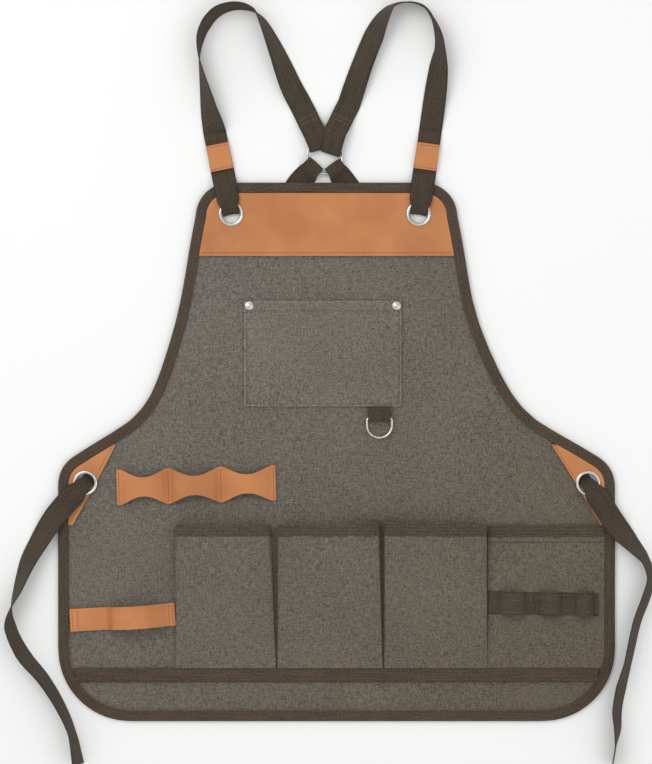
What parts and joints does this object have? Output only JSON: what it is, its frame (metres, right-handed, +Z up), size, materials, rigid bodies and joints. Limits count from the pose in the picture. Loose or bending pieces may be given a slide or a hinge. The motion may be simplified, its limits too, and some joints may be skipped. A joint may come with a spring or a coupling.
{
  "type": "gardening apron",
  "caption": "Cross-back work apron of canvas with webbing straps, leather patches, eyelets, bellows pockets and tool loops, lying face up.",
  "frame": {"origin": "middle of the footprint of the apron with its straps, on the surface that it lies on", "axes": "+Y from the hem towards the bib and the straps, +X to the right as seen from above, +Z up"},
  "size_m": [0.7128, 0.8396, 0.025],
  "materials": {
    "canvas": "matte woven",
    "webbing": "ribbed woven",
    "leather": "smooth tan",
    "nickel": "satin nickel"
  },
  "bodies": {
    "root": {"canvas_panel": "canvas", "edge_binding": "webbing", "bib_leather": "leather", "waist_leather_left": "leather", "waist_leather_right": "leather", "eyelet_bib_left": "nickel", "eyelet_bib_right": "nickel", "eyelet_waist_left": "nickel", "eyelet_waist_right": "nickel", "back_ring": "nickel", "shoulder_strap_left": "webbing", "shoulder_strap_right": "webbing", "keeper_left": "leather", "keeper_right": "leather", "waist_strap_left": "webbing", "waist_strap_right": "webbing", "chest_pocket": "canvas", "pocket_rivet_left": "nickel", "pocket_rivet_right": "nickel", "ring_tab": "webbing", "d_ring": "nickel", "pocket_left": "canvas", "pocket_middle": "canvas", "pocket_right": "canvas", "tool_holder": "leather", "axe_loop": "leather", "stake_panel": "canvas", "stake_loops": "webbing", "base_tape": "webbing"}
  },
  "joints": []
}
